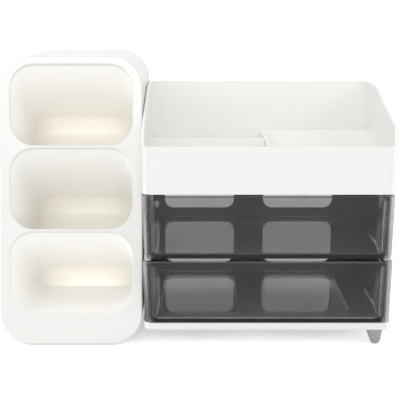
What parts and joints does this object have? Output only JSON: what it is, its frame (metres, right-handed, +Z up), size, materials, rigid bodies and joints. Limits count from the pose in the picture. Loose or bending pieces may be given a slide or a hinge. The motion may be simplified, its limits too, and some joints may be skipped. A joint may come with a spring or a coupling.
{
  "type": "makeup organizer",
  "caption": "White tabletop makeup organizer with a leaning brush tower, an open divided tray and smoke-clear sliding drawers.",
  "frame": {"origin": "on the table under the middle of the whole outline", "axes": "+X to the viewer's right, +Y from the drawer fronts to the back, +Z up"},
  "size_m": [0.3338, 0.165, 0.243],
  "materials": {
    "white_gloss": "gloss",
    "smoke_clear": "gloss",
    "foot_metal": "satin",
    "screw_steel": "satin",
    "pad_foam": "matte"
  },
  "bodies": {
    "organizer_frame": {"base_plate": "white_gloss", "left_side_panel": "white_gloss", "right_side_panel": "white_gloss", "back_panel": "white_gloss", "mid_shelf": "white_gloss", "top_tray": "white_gloss", "foot_front": "foot_metal", "foot_rear": "foot_metal", "foot_screws": "screw_steel", "tower_shell": "white_gloss", "tower_front": "white_gloss", "top_pocket": "white_gloss", "middle_pocket": "white_gloss", "low_pocket": "white_gloss", "tower_back_cover": "white_gloss", "cover_screws": "screw_steel", "tower_pads": "pad_foam", "link_screws": "screw_steel"},
    "lower_drawer_body": {"lower_drawer": "smoke_clear"},
    "upper_drawer_body": {"upper_drawer": "smoke_clear"}
  },
  "joints": [
    {"name": "lower_drawer_slide", "type": "slide", "parent": "organizer_frame", "child": "lower_drawer_body", "axis": [0, -1, 0], "range_m": [0, 0.12]},
    {"name": "upper_drawer_slide", "type": "slide", "parent": "organizer_frame", "child": "upper_drawer_body", "axis": [0, -1, 0], "range_m": [0, 0.12]}
  ]
}
